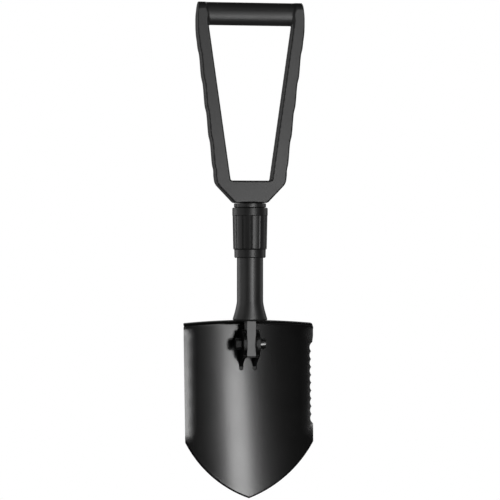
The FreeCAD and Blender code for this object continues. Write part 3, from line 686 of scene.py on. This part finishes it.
def point_arc(inset):
    """Points of the right arc down to the middle, set in from the rim."""
    radius = POINT_ARC - inset
    first = math.atan2(SHOULDER - POINT_CENTRE.y, HALF_LOW - POINT_CENTRE.x)
    last = -math.acos(-POINT_CENTRE.x / radius)
    turns = [first + (last - first) * step / POINT_STEPS for step in range(POINT_STEPS + 1)]
    return [(POINT_CENTRE.x + radius * math.cos(turn), POINT_CENTRE.y + radius * math.sin(turn))
            for turn in turns]


def bevel_width(up):
    """The ground bevel's width, running out to nothing at the shoulder."""
    return BEVEL_WIDTH * min(max((up - SHOULDER) / BEVEL_RUN_OUT, 0), 1)


def bevel_drop(across, up):
    """How far the hollow face is ground back: widely down the sides, narrowly round the point."""
    across = abs(across)
    side = half_width(up) - across
    drop = 0
    if up > SHOULDER and side < bevel_width(up):
        fade = min(max((BEVEL_START - up) / (BEVEL_START - BEVEL_TOP), 0), 1)
        drop = BEVEL_DROP * (bevel_width(up) - side) / BEVEL_WIDTH * fade
    point = POINT_ARC - (Vector((across, up)) - POINT_CENTRE).length
    if up < SHOULDER + 2 and point < RIM_WIDTH:
        drop = max(drop, RIM_DROP * (1 - max(point, 0) / RIM_WIDTH))
    return drop


def on_blade(across, forward, up):
    """From the blade's own frame at the pivot to the object's frame."""
    spot = Matrix.Rotation(math.radians(-BLADE_TILT), 3, "X") @ Vector((across, forward, up))
    return spot + PIVOT


def blade_face(depth, bevelled):
    """Maps the flat pattern to one face of the pressed sheet, depth behind the hollow face."""
    def mapped(across, up):
        dish = BLADE_OFFSET - DISH_RADIUS + math.sqrt((DISH_RADIUS + depth) ** 2 - across**2)
        if bevelled:
            dish += bevel_drop(across, up)
        past = up - (crown_height(across) - BEND)
        if past <= 0:
            return on_blade(across, dish, up)
        turn = min(past / BEND, BEND_TURN)
        straight = max(past - BEND * BEND_TURN, 0)
        radius = BEND - depth
        back = (dish - depth) + BEND - radius * math.cos(turn) + straight * math.sin(turn)
        rise = crown_height(across) - BEND + radius * math.sin(turn) + straight * math.cos(turn)
        return on_blade(across, back, rise)
    return mapped


def toothed_side():
    """The right edge going down: scallops cut by a row of round cutters."""
    centre = HALF_LOW - TOOTH_INSET + TOOTH_ROUND
    edge_turn = math.acos((centre - HALF_LOW) / TOOTH_ROUND)
    cusp_turn = math.asin(TOOTH_PITCH / 2 / TOOTH_ROUND)
    side = []
    for index in range(TOOTH_COUNT):
        up = TOOTH_FIRST - index * TOOTH_PITCH
        first = edge_turn if index == 0 else cusp_turn
        last = edge_turn if index == TOOTH_COUNT - 1 else cusp_turn
        for step in range(TOOTH_STEPS + (index == TOOTH_COUNT - 1)):
            turn = first - (first + last) * step / TOOTH_STEPS
            side.append((centre - TOOTH_ROUND * math.cos(turn), up + TOOTH_ROUND * math.sin(turn)))
    return side


def blade_rim():
    """The flat pattern's outline, clockwise from the flange's left corner."""
    flange = BEND * (BEND_TURN - 1) + (STEP_DEPTH - BEND * (1 - math.cos(BEND_TURN))) / math.sin(BEND_TURN)
    flange_half = HALF_TOP - FLANGE_INSET
    corner_middle = flange_half - FLANGE_ROUND
    top = [(corner_middle * step / FLANGE_STEPS, crown_height(corner_middle * step / FLANGE_STEPS) + flange)
           for step in range(-FLANGE_STEPS, FLANGE_STEPS + 1)]
    side = []
    for step in range(1, FLANGE_ROUND_STEPS + 1):
        turn = math.pi / 2 * (1 - step / FLANGE_ROUND_STEPS)
        side.append((corner_middle + FLANGE_ROUND * math.cos(turn),
                     crown_height(flange_half) + flange - FLANGE_ROUND + FLANGE_ROUND * math.sin(turn)))
    shoulder = CORNER - BEND
    side += [(flange_half, shoulder + 5), (half_width(shoulder), shoulder)]
    side += [(half_width(up), up) for up in (BEVEL_START, BEVEL_TOP, 10)]
    plain = [(half_width(up), up) for up in range(2, -111, -8)]
    point = point_arc(0)
    left = [(-across, up) for across, up in side + plain + point]
    return top + side + toothed_side() + point[:-1] + left[::-1]


def slot_loop(side):
    """A slot for one ear, square at the head and round at the foot."""
    half = (SLOT_OUTER - SLOT_INNER) / 2
    middle, foot = side * (SLOT_INNER + SLOT_OUTER) / 2, SLOT_FOOT + half
    loop = [(middle + half, SLOT_HEAD), (middle + half, foot)]
    turns = [math.pi * step / SLOT_STEPS for step in range(1, SLOT_STEPS)]
    loop += [(middle + half * math.cos(turn), foot - half * math.sin(turn)) for turn in turns]
    return loop + [(middle - half, foot), (middle - half, SLOT_HEAD)]


def blade_plate():
    """The pressed plate; crease lines hold the edges of the ground bevels."""
    rows = list(range(18, -112, -8)) + [SHOULDER + BEVEL_RUN_OUT]
    ground = [(half_width(up) - bevel_width(up), up) for up in rows]
    crease = ground + point_arc(RIM_WIDTH)
    creases = [crease, [(-across, up) for across, up in crease]]
    extra = [(4 * column, row) for column in range(-17, 18) for row in range(-178, 18, 6)
             if bevel_drop(4 * column * 1.05, row - 3) == 0]
    extra += [(4 * column, crown_height(4 * column) - BEND + BEND * BEND_TURN * step / 8)
              for column in range(-19, 20) for step in range(9)]
    piece = plate("blade_plate_pressed", [blade_rim(), slot_loop(1), slot_loop(-1)], BLADE_COAT,
                  blade_face(0, True), blade_face(SHEET, False), extra, creases)
    eased(piece, 0.3, 50)
    stands_for(piece, "blade", "blade_coating", "blade_plate")


# ---------------------------------------------------------------- springs
def spring_tree():
    """Geometry nodes for a coil spring along +Z from the origin; its sizes are named inputs in metres."""
    tree = bpy.data.node_groups.new("wound_spring", "GeometryNodeTree")
    tree.interface.new_socket("Geometry", in_out="OUTPUT", socket_type="NodeSocketGeometry")
    inputs = {"Coil Radius": "Float", "Wire Radius": "Float", "Length": "Float", "Turns": "Float",
              "Foot": "Vector", "Lean": "Vector", "Steel": "Material"}
    for name, kind in inputs.items():
        tree.interface.new_socket(name, in_out="INPUT", socket_type=f"NodeSocket{kind}")
    graph = Graph(tree)
    sizes = tree.nodes.new("NodeGroupInput").outputs

    def size(name):
        return Socket(graph, sizes[name])

    path = graph.node("GeometryNodeCurveSpiral", {
        "Resolution": 40, "Rotations": size("Turns"), "Start Radius": size("Coil Radius"),
        "End Radius": size("Coil Radius"), "Height": size("Length")})
    wire = graph.node("GeometryNodeCurvePrimitiveCircle", {"Resolution": 12, "Radius": size("Wire Radius")})
    coil = graph.node("GeometryNodeCurveToMesh", {"Curve": path, "Profile Curve": wire, "Fill Caps": True})
    placed = graph.node("GeometryNodeTransform", {
        "Geometry": coil, "Translation": size("Foot"), "Rotation": size("Lean")})
    solid = graph.node("GeometryNodeRealizeInstances", {"Geometry": placed})
    steel = graph.node("GeometryNodeSetMaterial", {"Geometry": solid, "Material": size("Steel")})
    graph.node("NodeGroupOutput", {"Geometry": steel})
    return tree


def wound_spring(tree, node, joint, wire, turns, along="Z"):
    """A smooth coil in the place of a CAD spring, read from that spring's box; joint does not change it."""
    low, high = mm_box(node)
    middle, reach = (low + high) / 2, high - low
    if along == "X":
        length, axis, lean, seat = reach.x, (1, 0, 0), math.pi / 2, Vector((low.x, middle.y, middle.z))
    else:
        length, axis, lean, seat = reach.z, (0, 0, 1), 0, Vector((middle.x, middle.y, low.z))
    piece = added(f"{node}_wound", bpy.data.meshes.new(node))
    coil = piece.modifiers.new("coil", "NODES")
    coil.node_group = tree
    values = {"Coil Radius": (reach.y - wire) / 2 * MM, "Wire Radius": wire / 2 * MM, "Turns": turns,
              "Length": (length - wire) * MM, "Foot": (seat + Vector(axis) * wire / 2) * MM,
              "Lean": Vector((0, lean, 0)), "Steel": SPRING_STEEL}
    for item in tree.interface.items_tree:
        if item.in_out == "INPUT":
            coil[item.identifier] = values[item.name]
    made_plain(piece)
    outward(piece)
    smooth(piece, 50)
    stands_for(piece, "shaft", "spring_steel", node)
    1 - travel(joint) / length
    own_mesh(piece)


# ---------------------------------------------------------------- eased CAD parts
EASED = [
    ("blade_tang", "shaft", "tang_steel", 0.8),
    ("hinge_bracket", "blade", "hinge_black", 0.3),
    ("pivot_bolt", "blade", "hinge_black", 1.1),
    ("push_button", "button", "button_steel", 0.4),
    ("handle_lug", "shaft", "shaft_anodised", 0.4),
    ("handle_hinge_pin", "handle", "pin_steel", 0.3),
]


def eased_parts():
    for node, body, slot, width in EASED:
        stands_for(softened(node, width), body, slot, node)


d_handle()
lock_collar()
neck_ring()
lower_ferrule()
blade_plate()
coil_nodes = spring_tree()
wound_spring(coil_nodes, "collar_spring", "collar_slide", 1.4, 6.0)
wound_spring(coil_nodes, "button_spring", "button_press", 0.7, 4.0, "X")
eased_parts()


# ---------------------------------------------------------------- studio
def facing(place, aim):
    """The turn that points a light or a camera at place towards aim."""
    return (Vector(aim) - Vector(place)).to_track_quat("-Z", "Y").to_euler()


def panel(name, size, power, place, aim):
    """A soft rectangular light, turned to face aim."""
    lamp = bpy.data.lights.new(name, "AREA")
    lamp.shape, (lamp.size, lamp.size_y), lamp.energy = "RECTANGLE", size, power
    light = added(name, lamp)
    light.location = place
    light.rotation_euler = facing(place, aim)
    return light


def around(azimuth, distance, height):
    """A place round the object: azimuth 0 is straight in front, positive to the right."""
    turn = math.radians(azimuth)
    return Vector((distance * math.sin(turn), -distance * math.cos(turn), height))


def room():
    """The studio room: seen as plain white; as light it is bright behind the object and dim in front."""
    world = bpy.data.worlds.new("room")
    world.use_nodes = True
    graph, background = Graph(world.node_tree), world.node_tree.nodes["Background"]
    way = graph.node("ShaderNodeTexCoord", output="Generated")
    back = graph.node("ShaderNodeSeparateXYZ", {0: way}, "Y")
    glow = graph.node("ShaderNodeMapRange", {
        "Value": back, "From Min": 0.1, "From Max": 0.8, "To Min": ROOM_DIM, "To Max": ROOM_BRIGHT})
    camera_ray = graph.node("ShaderNodeLightPath", output="Is Camera Ray")
    seen = graph.node("ShaderNodeMix", {"Factor": camera_ray, "A": glow, "B": 1})
    graph.tree.links.new(seen.link, background.inputs["Strength"])
    background.inputs["Color"].default_value = (1, 1, 1, 1)
    bpy.context.scene.world = world


def key_lights():
    """One tall leaning key, brighter below the split than above it."""
    for part, length, power, side in (("low", 1.15, 14.5, -1), ("high", 0.9, 4.6, 1)):
        key = panel(f"key_{part}", (KEY_WIDTH, length), power,
                    around(14.4, 2.0, KEY_SPLIT), (0, 0, KEY_SPLIT))
        key.rotation_euler.rotate_axis("Z", math.radians(KEY_LEAN))
        key.location += key.rotation_euler.to_matrix() @ Vector((0, side * length / 2, 0))


def look_on(azimuth, distance, lens):
    """The camera, level with the middle of the object."""
    data = bpy.data.cameras.new("camera")
    data.lens, data.sensor_width = lens, 36
    camera = added("camera", data)
    camera.location = around(azimuth, distance, MIDDLE.z)
    camera.rotation_euler = facing(camera.location, MIDDLE)
    bpy.context.scene.camera = camera
    bpy.context.scene.view_settings.view_transform = "Standard"


MIDDLE = Vector((0, 0, 0.0369))
ROOM_DIM, ROOM_BRIGHT = 0.02, 0.11
KEY_WIDTH, KEY_SPLIT, KEY_LEAN = 0.23, 0.06, -18
look_on(-9.0, 2.8, 166)
room()
key_lights()
panel("right_fill", (0.8, 1.6), 3, around(110, 1.9, 0.1), MIDDLE)
panel("left_fill", (1.0, 1.8), 8.5, around(-125, 1.9, 0.1), MIDDLE)
panel("left_wide", (2.0, 1.6), 4.5, around(-76, 1.9, 0.1), MIDDLE)
panel("top_fill", (1.0, 0.3), 0.5, (0.1, -1.3, 1.4), MIDDLE)
panel("back_fill", (0.9, 1.2), 10, around(150, 2.2, 1.2), MIDDLE)
